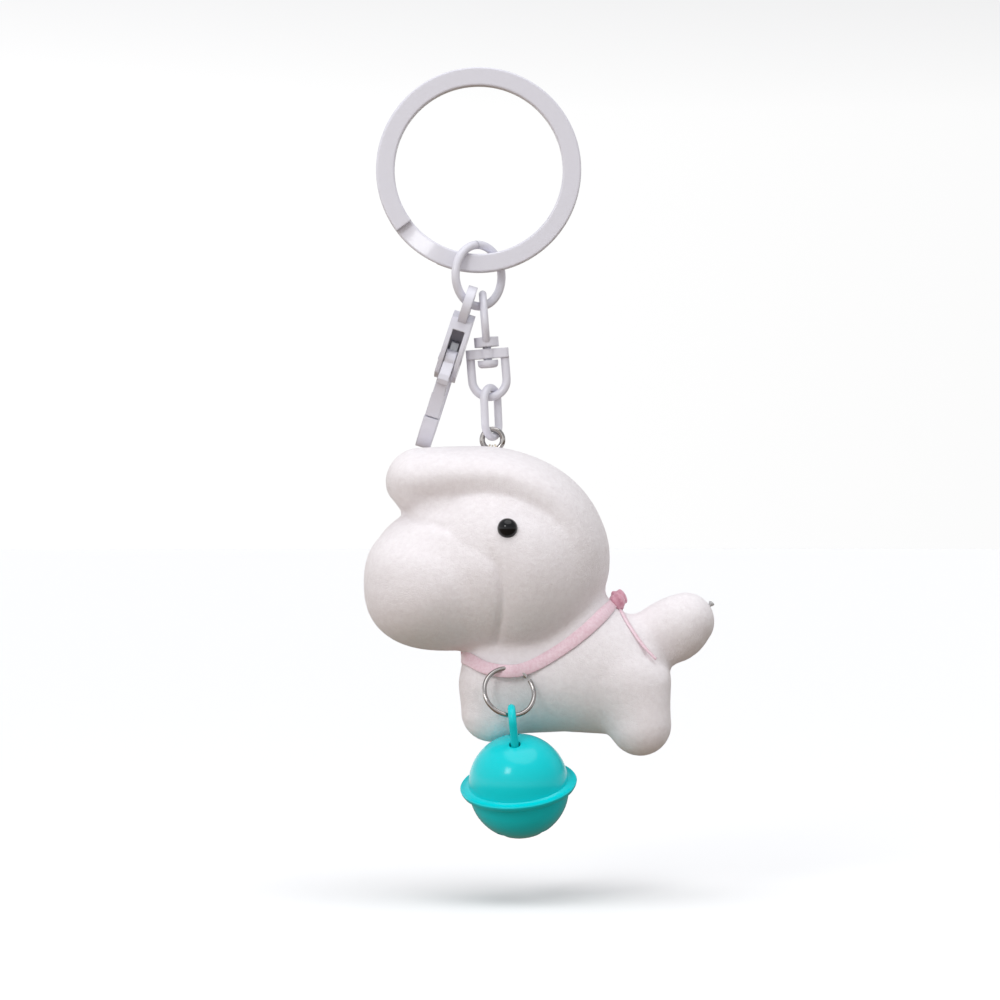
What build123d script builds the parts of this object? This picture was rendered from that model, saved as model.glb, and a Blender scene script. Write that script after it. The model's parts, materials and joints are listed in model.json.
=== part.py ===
"""A plush pony key chain: a split key ring, a connecting ring, a spring clasp, a swivel with an
oval link, and a stuffed plush pony that carries a round bell on a neck ribbon.

Millimetres. +Z is up, +X points from the pony's muzzle to its tail, and -Y is the near side.
The origin is the centre of the split key ring, from which everything hangs.
"""

import os
from math import cos, radians, sin, sqrt

from build123d import *

os.makedirs("parts", exist_ok=True)

# ---------------------------------------------------------------- driving dimensions
# split key ring: two flat turns of wire that lie against each other
KEY_OD = 30.0
KEY_BAND = 2.7  # radial width of the wire
COIL = 1.15  # thickness of one turn
COIL_GAP = 0.06
END_ANGLE = 143.3  # where the near turn's free end is, clockwise from +X
TURN_ARC = 331.0  # length of each flat turn
RAMP_ARC = 27.0  # where the wire passes from the near turn to the far one

# connecting ring
CONN_R = 4.5
CONN_WIRE = 0.62
CONN_TURN = 42.0  # its plane is turned this far from the key ring's
CONN_Z = -15.42
CONN_CUT = 0.12

# spring clasp
CLASP_LEAN = 0.325  # sideways run for each unit of drop
CLASP_BACK = 0.41  # backwards run for each unit of drop
CLASP_SEAT = -1.5  # where its eye sits along X from the connecting ring's lowest point
EYE_HOLE = (2.05, 1.65)  # half width and half height of the eye's hole
EYE_RIDE = 1.3  # the hole's top over the middle of the ring's wire, which passes at a slant
EYE_OUTER = (3.0, 2.8)
EYE_HALF = 0.66
CHEEK_HALF = 1.6  # half thickness over the cheeks
SLOT_HALF = 0.9
HOOK_HALF = 1.1
LEVER_HALF = 0.8
LEVER_WIDE = 1.02  # half thickness of the lever below the cheeks
PIN_R = 0.5
PIN_RUN = 0.03  # running clearance on every pivot pin
PIVOT = (2.5, -8.3)  # lever pivot in the clasp's own plane
PIN_PROUD = 0.12  # how far the pin's heads stand out from the cheeks
BOSS_R = 1.35  # round end of the lever about its pin
LEAF_WIDE = 1.1
LEAF_T = 0.2

# swivel: an eye with a collar, riveted through a stirrup
SWIVEL_SEAT = 0.72
SWIVEL_LEAN = 4.5
LOOP_WIRE = 0.57
LOOP_HALF = 2.4  # half the loop's width at its widest
LOOP_FOOT = 1.1  # half its width where it meets the collar
COLLAR_R = 1.8
COLLAR_T = 1.4
COLLAR_TOP = -4.65  # below the loop's seat
STEM_R = 0.62
STEM_RUN = 0.05
SWIVEL_GAP = 0.32
BAR_T = 1.4
STIRRUP_HALF = 2.52  # half the distance between the stirrup's legs
STIRRUP_WIRE = 0.62
STIRRUP_DROP = 6.3  # from the bar's middle to the bottom wire's middle
RIVET_R = 1.5
RIVET_T = 1.1
RIVET_GAP = 0.25  # between the rivet's head and the bar
BAR_WIDE = 1.9
BAR_ROUND = 0.6
BAR_LAND = 0.7  # metal around the stem's bore

# oval link and the small ring on the pony's head
LINK_WIRE = 0.58
LINK_HALF = 1.85
LINK_LONG = 7.2  # between the middles of its two end wires
LINK_TURN = 58.0
LINK_LEAN = 2.5
HANG_R = 1.5
HANG_WIRE = 0.4
FIT = 0.12  # gap between two linked wires

# plush pony: every form is a ball or a rounded bar, given by its two ends (x, y, z) and its radius
SKIN = 0.8
HEAD = [((4.1, 0, -56.8), (4.1, 0, -56.8), 14.4)]
CREST_FRONT = ((-8.6, 2.6, -45.9), (2.5, 3.4, -45.3), 4.9)
CREST_BACK = ((3.5, 3.2, -45.8), (11.0, 2.4, -49.4), 4.6)
CREST_MIDDLE = ((-8.0, 0, -46.6), (10.5, 0, -47.6), 4.4)
MUZZLE = [((-5.9, 0, -59.5), (-5.9, 0, -59.5), 10.9)]
TRUNK = [((6.0, 0, -73.8), (19.2, 0, -73.8), 8.6), ((14.5, 0, -69.0), (14.5, 0, -69.0), 7.2)]
FORE_LEG = ((2.0, 4.0, -76.0), (2.0, 4.0, -79.2), 4.2)
HIND_LEG = ((23.4, 4.3, -76.0), (23.4, 4.3, -80.9), 4.4)
TAIL = [((25.6, 0, -68.4), (29.5, 0, -66.8), 4.9)]
EYE_AT = (4.2, -52.3)
EYE_R = 1.45
EYE_SINK = 0.15  # how far the bead's middle lies under the head's surface
EYE_SHANK_R = 0.45
EYE_SHANK = 3.0
TAIL_KNOT_AT = (33.7, 0, -63.8)
TAIL_KNOT_R = 0.5

# neck ribbon
PONY_HALF = 16.0  # more than half the pony's depth
RIBBON_W = 1.4
RIBBON_LIFT = 1.0  # gap under the ribbon, where the bell's ring passes
RIBBON_T = 0.3
RIBBON_LINE = [(21.4, -61.6), (19.2, -63.7), (14.8, -67.3), (10.4, -70.5), (7.0, -73.0),
               (4.4, -74.0), (1.5, -73.3), (-1.3, -71.2), (-3.6, -68.6)]
KNOT_AT = (20.35, -62.85)
KNOT_R = 1.15
KNOT_HALF = 1.1
STREAMER_END = (26.0, -70.4)
STREAMER_W = 1.1
CLOTH_GAP = 0.1  # between the streamers and the plush

# bell and its ring
BELL_RING_AT = (4.45, -10.95, -75.8)
BELL_RING_R = 3.67
BELL_RING_WIRE = 0.33
BELL_RING_TURN = 15.0
BELL_RING_TIP = 26.0  # its lower side stands out towards the near side
BELL_RING_GAP = 0.6
BELL_R = 7.2
BELL_WALL = 0.4
SHELL_RISE = 0.4  # each half ball's middle is this far from the seam
RIM_R = 8.45
RIM_T = 0.5  # thickness of the flange above the seam
FOLD_T = 0.3  # thickness of the flange below the seam
BELL_TILT = 20.0  # the bell's top leans towards the near side
BELL_LEAN = 5.0
LOOP_R = 0.58
LOOP_LEG = 1.75
LOOP_TOP = 12.1
SLIT_W = 1.5
SLIT_REACH = 5.2
PELLET_R = 1.9

KEY_R = KEY_OD / 2
BAND_R = KEY_R - KEY_BAND / 2


def write(piece, name):
    """Labels a finished piece and writes it as its own file."""
    piece.label = name
    export_step(piece, f"parts/{name}.step")


def rounded_bar(start, end, radius):
    """A bar with ball ends between two points, or a ball where the points are the same."""
    start = Vector(*start)
    end = Vector(*end)
    if (end - start).length < 0.01:
        return Pos(*start) * Sphere(radius)
    along = (end - start).normalized()
    half = (end - start).length / 2
    base = Plane(origin=(start + end) * 0.5, x_dir=along, z_dir=along.cross(Vector(0.3, 1, 0.1)))
    with BuildPart() as bar:
        with BuildSketch(base):
            with BuildLine():
                Line((-half - radius, 0), (half + radius, 0))
                CenterArc((half, 0), radius, 0, 90)
                Line((half, radius), (-half, radius))
                CenterArc((-half, 0), radius, 90, 90)
            make_face()
        revolve(axis=Axis(base.origin, along))
    return bar.part


def soft_form(bars, inset=0.0):
    """Rounded bars fused into one form, each thinner than stated by the inset."""
    pieces = [rounded_bar(start, end, radius - inset) for start, end, radius in bars]
    with BuildPart() as form:
        add(pieces)
    return form.part


def main_solid(shape):
    """The largest solid of a shape, without the slivers that a cut leaves."""
    return max(shape.solids(), key=lambda solid: solid.volume)


def both_sides(bar):
    """A rounded bar and its mirror image across the XZ plane."""
    (x0, y0, z0), (x1, y1, z1), radius = bar
    return [((x0, side * y0, z0), (x1, side * y1, z1), radius) for side in (-1, 1)]


# ---------------------------------------------------------------- split key ring
def coil_section(angle, y_middle):
    """The plane that cuts the key ring's wire square at an angle, clockwise from +X."""
    turn = radians(angle)
    out = Vector(cos(turn), 0, -sin(turn))
    return Plane(origin=out * BAND_R + Vector(0, y_middle, 0), x_dir=out, z_dir=out.cross(Vector(0, 1, 0)))


NEAR_Y = -(COIL + COIL_GAP) / 2
FAR_Y = -NEAR_Y
WIRE_EDGE = 0.28
RAMP_STEPS = 4

with BuildPart() as split_ring:
    with BuildSketch(coil_section(END_ANGLE, NEAR_Y)):
        RectangleRounded(KEY_BAND, COIL, WIRE_EDGE)
    revolve(axis=Axis.Y, revolution_arc=TURN_ARC)
    with BuildSketch(coil_section(END_ANGLE, FAR_Y)):
        RectangleRounded(KEY_BAND, COIL, WIRE_EDGE)
    revolve(axis=Axis.Y, revolution_arc=TURN_ARC)
    ramp_start = END_ANGLE + TURN_ARC
    for step in range(RAMP_STEPS + 1):
        share = step / RAMP_STEPS
        ease = share * share * (3 - 2 * share)
        angle = ramp_start + (360 - TURN_ARC) * share
        with BuildSketch(coil_section(angle, NEAR_Y + (FAR_Y - NEAR_Y) * ease)):
            RectangleRounded(KEY_BAND, COIL, WIRE_EDGE)
    loft()
write(split_ring.part, "split_ring")

# ---------------------------------------------------------------- connecting ring
CONN_OUT = Vector(cos(radians(CONN_TURN)), sin(radians(CONN_TURN)), 0)
CONN_PLANE = Plane(origin=(0, 0, CONN_Z), x_dir=CONN_OUT, z_dir=CONN_OUT.cross(Vector(0, 0, 1)))

with BuildPart(CONN_PLANE) as connector_ring:
    Torus(CONN_R, CONN_WIRE)
    with Locations((-0.5, CONN_R, 0)):
        Box(CONN_CUT, 2.2 * CONN_WIRE, 2.2 * CONN_WIRE, rotation=(0, 0, 18), mode=Mode.SUBTRACT)
write(connector_ring.part, "connector_ring")


def conn_seat(x):
    """The middle of the connecting ring's wire where its lower half passes a given X."""
    run = x / CONN_OUT.X
    return Vector(x, run * CONN_OUT.Y, CONN_Z - sqrt(CONN_R**2 - run**2))


# ---------------------------------------------------------------- spring clasp
# In the clasp's plane, x points to the gate's side and y points up its length.
CLASP_DOWN = Vector(-CLASP_LEAN, CLASP_BACK, -1).normalized()
CLASP_SIDE = CLASP_DOWN.cross(Vector(0, 1, 0)).normalized()
CLASP_GATE = CLASP_DOWN.cross(CLASP_SIDE).normalized()
CLASP_PLANE = Plane(origin=conn_seat(CLASP_SEAT), x_dir=CLASP_GATE, z_dir=CLASP_SIDE * -1)
EYE_Y = EYE_RIDE - EYE_HOLE[1]

SPINE_OUT = [(-4.3, -9.5), (-4.7, -14.0), (-3.8, -20.2), (0.1, -23.5), (3.6, -21.4), (4.6, -19.0),
             (4.5, -17.2)]
SPINE_IN = [(2.5, -17.65), (2.4, -19.0), (1.5, -20.8), (0.1, -21.4), (-1.6, -19.4), (-2.4, -15.0),
            (-2.2, -12.0)]
HEAD_LINE = [(-1.5, -2.2), (-3.1, -4.2), (-4.2, -8.2), (-4.5, -12.6)]
SHOULDER = [(3.3, -10.6), (4.1, -8.6), (3.3, -4.8), (1.5, -2.2)]
LEVER_IN = [(1.6, -9.6), (2.0, -13.5), (2.4, -17.5)]
LEVER_OUT = [(4.4, -17.05), (4.2, -13.5), (4.3, -11.8)]

with BuildPart() as clasp_body:
    with BuildSketch(CLASP_PLANE):
        with BuildLine():
            Spline(*SPINE_OUT)
            Line(SPINE_OUT[-1], SPINE_IN[0])
            Spline(*SPINE_IN)
            Line(SPINE_IN[-1], SPINE_OUT[0])
        make_face()
    extrude(amount=HOOK_HALF, both=True)
    with BuildSketch(CLASP_PLANE):
        with BuildLine():
            Spline(*HEAD_LINE)
            Polyline(HEAD_LINE[-1], (-1.8, -13.2), SHOULDER[0])
            Spline(*SHOULDER)
            Line(SHOULDER[-1], HEAD_LINE[0])
        make_face()
    extrude(amount=CHEEK_HALF, both=True)
    with BuildSketch(CLASP_PLANE):
        with BuildLine():
            Polyline((-1.1, -3.7), (6.0, -3.7), (6.0, -14.0), (-1.1, -14.0), close=True)
        make_face()
    extrude(amount=SLOT_HALF, both=True, mode=Mode.SUBTRACT)
    with BuildSketch(CLASP_PLANE):
        with Locations((0, EYE_Y)):
            Ellipse(*EYE_OUTER)
    extrude(amount=EYE_HALF, both=True)
    with BuildSketch(CLASP_PLANE):
        with Locations((0, EYE_Y)):
            Ellipse(*EYE_HOLE)
    extrude(amount=2 * CHEEK_HALF, both=True, mode=Mode.SUBTRACT)
    with BuildSketch(CLASP_PLANE):
        with Locations(PIVOT):
            Circle(PIN_R)
    extrude(amount=2 * CHEEK_HALF, both=True, mode=Mode.SUBTRACT)
write(clasp_body.part, "clasp_body")

with BuildPart() as clasp_lever:
    with BuildSketch(CLASP_PLANE):
        with BuildLine():
            Spline(*LEVER_IN)
            Line(LEVER_IN[-1], LEVER_OUT[0])
            Spline(*LEVER_OUT)
            Polyline(LEVER_OUT[-1], (5.5, -11.3), (5.9, -10.5), (5.5, -9.8), (3.6, -8.2), LEVER_IN[0])
        make_face()
        with Locations(PIVOT):
            Circle(BOSS_R)
        with Locations(PIVOT):
            Circle(PIN_R + PIN_RUN, mode=Mode.SUBTRACT)
    extrude(amount=LEVER_HALF, both=True)
    with BuildSketch(CLASP_PLANE):
        with BuildLine():
            Polyline((2.05, -14.3), (2.4, -17.5), (4.4, -17.05), (4.2, -13.4), close=True)
        make_face()
    extrude(amount=LEVER_WIDE, both=True)
write(clasp_lever.part, "clasp_lever")

with BuildPart() as clasp_pin:
    with BuildSketch(CLASP_PLANE):
        with Locations(PIVOT):
            Circle(PIN_R)
    extrude(amount=CHEEK_HALF + PIN_PROUD, both=True)
write(clasp_pin.part, "clasp_pin")

with BuildPart() as clasp_spring:
    with BuildLine(CLASP_PLANE) as leaf:
        FilletPolyline((-0.7, -11.5), (-0.7, -5.2), (0.75, -8.3), radius=0.35)
    with BuildSketch(Plane(origin=leaf.line @ 0, x_dir=CLASP_SIDE, z_dir=leaf.line % 0)):
        Rectangle(LEAF_WIDE, LEAF_T)
    sweep()
write(clasp_spring.part, "clasp_spring")

# ---------------------------------------------------------------- swivel
# In the swivel's frame, z runs up its axis and the origin is where its loop sits on the connecting ring.
SWIVEL_UP = Vector(-sin(radians(SWIVEL_LEAN)), 0, cos(radians(SWIVEL_LEAN)))
SWIVEL_ORIGIN = conn_seat(SWIVEL_SEAT)
SWIVEL = Plane(origin=SWIVEL_ORIGIN, x_dir=(1, 0, SWIVEL_UP.X * -1 / SWIVEL_UP.Z), z_dir=SWIVEL_UP)
LOOP_PLANE = Plane(origin=SWIVEL_ORIGIN, x_dir=SWIVEL.y_dir, z_dir=SWIVEL.x_dir)
FACE_PLANE = Plane(origin=SWIVEL_ORIGIN, x_dir=SWIVEL.x_dir, z_dir=SWIVEL.y_dir * -1)
LOOP_SEAT = CONN_WIRE + 0.5 + LOOP_WIRE  # height of the loop's top wire over its seat
LOOP_BEND = LOOP_SEAT - LOOP_HALF
COLLAR_LOW = COLLAR_TOP - COLLAR_T
BAR_TOP = COLLAR_LOW - SWIVEL_GAP
BAR_MID = BAR_TOP - BAR_T / 2
BAR_LOW = BAR_TOP - BAR_T
RIVET_TOP = BAR_LOW - RIVET_GAP
STIRRUP_LOW = BAR_MID - STIRRUP_DROP

with BuildPart() as swivel_eye:
    foot = COLLAR_TOP - 0.5
    with BuildLine(LOOP_PLANE) as loop_path:
        left = [(-LOOP_FOOT, foot), (-LOOP_HALF, LOOP_BEND)]
        right = [(LOOP_HALF, LOOP_BEND), (LOOP_FOOT, foot)]
        Spline(*left, (0, LOOP_SEAT), *right)
    with BuildSketch(Plane(origin=loop_path.line @ 0, z_dir=loop_path.line % 0)):
        Circle(LOOP_WIRE)
    sweep()
    with BuildSketch(SWIVEL.offset(COLLAR_LOW)):
        Circle(COLLAR_R)
    extrude(amount=COLLAR_T)
write(swivel_eye.part, "swivel_eye")

with BuildPart() as swivel_rivet:
    with BuildSketch(SWIVEL.offset(RIVET_TOP - RIVET_T)):
        Circle(RIVET_R)
    extrude(amount=RIVET_T)
    fillet(swivel_rivet.edges().sort_by(Axis(SWIVEL_ORIGIN, SWIVEL_UP))[0], radius=0.6)
    with BuildSketch(SWIVEL.offset(RIVET_TOP)):
        Circle(STEM_R)
    extrude(amount=COLLAR_LOW - RIVET_TOP)
write(swivel_rivet.part, "swivel_rivet")

with BuildPart() as swivel_stirrup:
    with BuildLine(FACE_PLANE):
        low = STIRRUP_LOW + STIRRUP_HALF
        Line((-STIRRUP_HALF, BAR_MID), (-STIRRUP_HALF, low))
        ThreePointArc((-STIRRUP_HALF, low), (0, STIRRUP_LOW), (STIRRUP_HALF, low))
        Line((STIRRUP_HALF, low), (STIRRUP_HALF, BAR_MID))
    with BuildSketch(SWIVEL.offset(BAR_MID)):
        with Locations((-STIRRUP_HALF, 0)):
            Circle(STIRRUP_WIRE)
    sweep()
    with BuildSketch(SWIVEL.offset(BAR_LOW)):
        RectangleRounded(2 * (STIRRUP_HALF + STIRRUP_WIRE), BAR_WIDE, BAR_ROUND)
        Circle(STEM_R + BAR_LAND)
        Circle(STEM_R + STEM_RUN, mode=Mode.SUBTRACT)
    extrude(amount=BAR_T)
write(swivel_stirrup.part, "swivel_stirrup")

# ---------------------------------------------------------------- oval link
STIRRUP_SEAT = SWIVEL_ORIGIN + SWIVEL_UP * STIRRUP_LOW
LINK_UP = Vector(-sin(radians(LINK_LEAN)), 0, cos(radians(LINK_LEAN)))
LINK_ACROSS = Vector(0, 1, 0).cross(LINK_UP)
LINK_OUT = LINK_ACROSS * cos(radians(LINK_TURN)) + Vector(0, 1, 0) * sin(radians(LINK_TURN))
LINK_TOP = STIRRUP_SEAT + LINK_UP * (STIRRUP_WIRE + FIT + LINK_WIRE)
LINK_PLANE = Plane(origin=LINK_TOP, x_dir=LINK_OUT, z_dir=LINK_OUT.cross(LINK_UP))
LINK_SIDE = LINK_LONG - LINK_HALF

with BuildPart() as oval_link:
    with BuildLine(LINK_PLANE):
        Line((-LINK_HALF, -LINK_SIDE), (-LINK_HALF, -LINK_HALF))
        ThreePointArc((-LINK_HALF, -LINK_HALF), (0, 0), (LINK_HALF, -LINK_HALF))
        Line((LINK_HALF, -LINK_HALF), (LINK_HALF, -LINK_SIDE))
        ThreePointArc((LINK_HALF, -LINK_SIDE), (0, -LINK_LONG), (-LINK_HALF, -LINK_SIDE))
    with BuildSketch(Plane(origin=LINK_PLANE.from_local_coords((-LINK_HALF, -LINK_SIDE)), z_dir=LINK_UP)):
        Circle(LINK_WIRE)
    sweep()
write(oval_link.part, "oval_link")

# ---------------------------------------------------------------- hanging ring and its thread
LINK_LOW = LINK_TOP - LINK_UP * LINK_LONG
HANG_MID = LINK_LOW + Vector(0, 0, LINK_WIRE + FIT + HANG_WIRE - HANG_R)
HANG_LOW = HANG_MID - Vector(0, 0, HANG_R)

with BuildPart(Plane(origin=HANG_MID, x_dir=(1, 0, 0), z_dir=(0, -1, 0))) as hang_ring:
    Torus(HANG_R, HANG_WIRE)
write(hang_ring.part, "hang_ring")

THREAD_R = 0.13
THREAD_LOOP = HANG_WIRE + 0.1 + THREAD_R
THREAD_FAN = (-26, 0, 26)

with BuildPart() as hang_thread:
    for fan in THREAD_FAN:
        lean = radians(fan)
        at = HANG_MID + Vector(HANG_R * sin(lean), 0, -HANG_R * cos(lean))
        ring_way = Vector(cos(lean), 0, sin(lean))
        with Locations(Plane(origin=at, x_dir=(0, 1, 0), z_dir=ring_way)):
            Torus(THREAD_LOOP, THREAD_R)
    with Locations(HANG_LOW - Vector(0, 0, THREAD_LOOP)):
        Box(1.9, 0.5, 0.3)
write(hang_thread.part, "hang_thread")

# ---------------------------------------------------------------- plush pony
TORSO = TRUNK + both_sides(FORE_LEG) + both_sides(HIND_LEG)
CREST = both_sides(CREST_FRONT) + both_sides(CREST_BACK) + [CREST_MIDDLE]
DIMPLE = Pos(*HANG_MID) * Sphere(HANG_R + HANG_WIRE + 0.3)

head_form = soft_form(HEAD)
crest_form = soft_form(CREST)
muzzle_form = soft_form(MUZZLE)
torso_form = soft_form(TORSO)
tail_form = soft_form(TAIL)
head_core = soft_form(HEAD, SKIN)
crest_core = soft_form(CREST, SKIN)
muzzle_core = soft_form(MUZZLE, SKIN)
torso_core = soft_form(TORSO, SKIN)
tail_core = soft_form(TAIL, SKIN)

EYES = {}
for side, name in ((-1, "eye_near"), (1, "eye_far")):
    (head_x, _, head_z), _, head_r = HEAD[0]
    depth = sqrt(head_r**2 - (EYE_AT[0] - head_x) ** 2 - (EYE_AT[1] - head_z) ** 2)
    with BuildPart() as eye:
        with Locations((EYE_AT[0], side * (depth - EYE_SINK), EYE_AT[1])):
            Sphere(EYE_R)
        with Locations((EYE_AT[0], side * (depth - EYE_R - EYE_SHANK / 2 ), EYE_AT[1])):
            Cylinder(EYE_SHANK_R, EYE_SHANK, rotation=(90, 0, 0))
    EYES[name] = eye.part

beads = list(EYES.values())
PLUSH = {
    "crest_skin": crest_form - crest_core - DIMPLE - hang_thread.part,
    "crest_filling": crest_core - DIMPLE - hang_thread.part,
    "muzzle_skin": muzzle_form - muzzle_core - crest_form,
    "muzzle_filling": muzzle_core - crest_form,
    "head_skin": main_solid(head_form - head_core - crest_form - muzzle_form - beads),
    "head_filling": main_solid(head_core - crest_form - muzzle_form - beads),
    "body_skin": torso_form - torso_core - head_form - muzzle_form - tail_form,
    "body_filling": torso_core - head_form - muzzle_form - tail_form,
    "tail_skin": tail_form - tail_core,
    "tail_filling": tail_core,
    **EYES,
}
for name, piece in PLUSH.items():
    write(piece, name)

with BuildPart() as tail_knot:
    with Locations(TAIL_KNOT_AT):
        Sphere(TAIL_KNOT_R)
tail_knot_part = tail_knot.part - tail_form
write(tail_knot_part, "tail_knot")

# ---------------------------------------------------------------- neck ribbon
ribbon_over = soft_form(TORSO, -RIBBON_LIFT - RIBBON_T)
ribbon_under = soft_form(TORSO, -RIBBON_LIFT)
streamer_over = soft_form(TORSO, -CLOTH_GAP - RIBBON_T)
torso_clear = soft_form(TORSO, -CLOTH_GAP)
head_clear = soft_form(HEAD, -0.05)
muzzle_clear = soft_form(MUZZLE, -0.05)

knot_form = rounded_bar((KNOT_AT[0], -KNOT_HALF, KNOT_AT[1]), (KNOT_AT[0], KNOT_HALF, KNOT_AT[1]), KNOT_R)

with BuildPart() as ribbon_knot:
    add(knot_form)
write(ribbon_knot.part, "ribbon_knot")

with BuildPart() as neck_ribbon:
    with BuildSketch(Plane.XZ):
        with BuildLine():
            Spline(*RIBBON_LINE)
        trace(line_width=RIBBON_W)
    extrude(amount=PONY_HALF, both=True)
    add(ribbon_over, mode=Mode.INTERSECT)
    add([ribbon_under, head_clear, muzzle_clear, knot_form], mode=Mode.SUBTRACT)
write(neck_ribbon.part, "neck_ribbon")

with BuildPart() as ribbon_streamers:
    with BuildSketch(Plane.XZ):
        with BuildLine():
            Line((KNOT_AT[0] + 0.3, KNOT_AT[1] - 0.4), STREAMER_END)
        trace(line_width=STREAMER_W)
    extrude(amount=PONY_HALF, both=True)
    add(streamer_over, mode=Mode.INTERSECT)
    add([torso_clear, tail_form, knot_form], mode=Mode.SUBTRACT)
write(ribbon_streamers.part, "ribbon_streamers")

# ---------------------------------------------------------------- bell ring
RING_TURN = radians(BELL_RING_TURN)
RING_TIP = radians(BELL_RING_TIP)
RING_OUT = Vector(cos(RING_TURN), sin(RING_TURN), 0)
RING_BACK = Vector(-sin(RING_TURN), cos(RING_TURN), 0)
RING_UP = RING_BACK * sin(RING_TIP) + Vector(0, 0, cos(RING_TIP))
BELL_RING_PLANE = Plane(origin=BELL_RING_AT, x_dir=RING_OUT, z_dir=RING_OUT.cross(RING_UP))
GAP_ANGLE = 33

with BuildPart(BELL_RING_PLANE) as bell_ring:
    Torus(BELL_RING_R, BELL_RING_WIRE)
    with Locations((BELL_RING_R * cos(radians(GAP_ANGLE)), BELL_RING_R * sin(radians(GAP_ANGLE)), 0)):
        Box(2, BELL_RING_GAP, 1, rotation=(0, 0, GAP_ANGLE), mode=Mode.SUBTRACT)
write(bell_ring.part, "bell_ring")

# ---------------------------------------------------------------- bell
# In the bell's frame, z runs up its axis, and the origin is the middle of the ball.
BELL_UP = Vector(-sin(radians(BELL_LEAN)), -sin(radians(BELL_TILT)), cos(radians(BELL_TILT))).normalized()
RING_LOW = Vector(*BELL_RING_AT) - RING_UP * BELL_RING_R
LOOP_AT = RING_LOW + BELL_UP * (BELL_RING_WIRE + FIT + LOOP_R)
BELL_MID = LOOP_AT - BELL_UP * LOOP_TOP
BELL_X = Vector(1, 0, -BELL_UP.X / BELL_UP.Z).normalized()
BELL = Plane(origin=BELL_MID, x_dir=BELL_X, z_dir=BELL_UP)
BELL_FACE = Plane(origin=BELL_MID, x_dir=BELL_X, z_dir=BELL.y_dir * -1)
BELL_LOOP_PLANE = Plane(origin=BELL_MID, x_dir=BELL.y_dir, z_dir=BELL_X)
BELL_AXIS = Axis(BELL_MID, BELL_UP)
BELL_IN = BELL_R - BELL_WALL
BULGE = BELL_IN * sin(radians(45))
SEAM = 0.02  # half the gap between the two shells' rims
LEG_HOLE = LOOP_R + 0.25

with BuildPart() as bell_top:
    with BuildSketch(BELL_FACE):
        with BuildLine():
            Line((0, SHELL_RISE + BELL_IN), (0, SHELL_RISE + BELL_R))
            dome = CenterArc((0, SHELL_RISE), BELL_R, 90, -88)
            rim = Spline(dome @ 1, (BELL_R + 0.35, RIM_T - 0.02), (RIM_R - 0.1, RIM_T))
            Polyline(rim @ 1, (RIM_R, RIM_T - 0.15), (RIM_R - 0.1, SEAM))
            Polyline((RIM_R - 0.1, SEAM), (BELL_IN, SEAM), (BELL_IN, SHELL_RISE))
            ThreePointArc((BELL_IN, SHELL_RISE), (BULGE, SHELL_RISE + BULGE), (0, SHELL_RISE + BELL_IN))
        make_face()
    revolve(axis=BELL_AXIS)
    with BuildSketch(BELL):
        with Locations((0, -LOOP_LEG), (0, LOOP_LEG)):
            Circle(LEG_HOLE)
    extrude(amount=BELL_R + 1, mode=Mode.SUBTRACT)
write(bell_top.part, "bell_top")

with BuildPart() as bell_bottom:
    with BuildSketch(BELL_FACE):
        with BuildLine():
            Line((0, -SHELL_RISE - BELL_IN), (0, -SHELL_RISE - BELL_R))
            bowl = CenterArc((0, -SHELL_RISE), BELL_R, -90, 88)
            Polyline(bowl @ 1, (RIM_R - 0.3, -FOLD_T), (RIM_R - 0.15, -SEAM))
            Polyline((RIM_R - 0.15, -SEAM), (BELL_IN, -SEAM), (BELL_IN, -SHELL_RISE))
            ThreePointArc((BELL_IN, -SHELL_RISE), (BULGE, -SHELL_RISE - BULGE), (0, -SHELL_RISE - BELL_IN))
        make_face()
    revolve(axis=BELL_AXIS)
    with BuildSketch(BELL.offset(-BELL_R - 1)):
        for spin in (45, 135):
            with Locations(Location((0, 0, 0), (0, 0, spin))):
                SlotOverall(2 * SLIT_REACH, SLIT_W)
    extrude(amount=BELL_R - 1, mode=Mode.SUBTRACT)
write(bell_bottom.part, "bell_bottom")

LEG_END = SHELL_RISE + sqrt(BELL_IN**2 - LOOP_LEG**2) - 0.85
with BuildPart() as bell_loop:
    with BuildLine(BELL_LOOP_PLANE):
        Line((-LOOP_LEG, LEG_END), (-LOOP_LEG, LOOP_TOP - LOOP_LEG))
        ThreePointArc((-LOOP_LEG, LOOP_TOP - LOOP_LEG), (0, LOOP_TOP), (LOOP_LEG, LOOP_TOP - LOOP_LEG))
        Line((LOOP_LEG, LOOP_TOP - LOOP_LEG), (LOOP_LEG, LEG_END))
    with BuildSketch(BELL.offset(LEG_END)):
        with Locations((0, -LOOP_LEG)):
            Circle(LOOP_R)
    sweep()
    with BuildSketch(BELL.offset(LEG_END - 0.3)):
        with Locations((0, -LOOP_LEG), (0, LOOP_LEG)):
            Circle(LOOP_R + 0.5)
    extrude(amount=0.5)
write(bell_loop.part, "bell_loop")

with BuildPart() as bell_pellet:
    with Locations(BELL_MID - Vector(0, 0, BELL_IN - PELLET_R - 0.15)):
        Sphere(PELLET_R)
write(bell_pellet.part, "bell_pellet")

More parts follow.
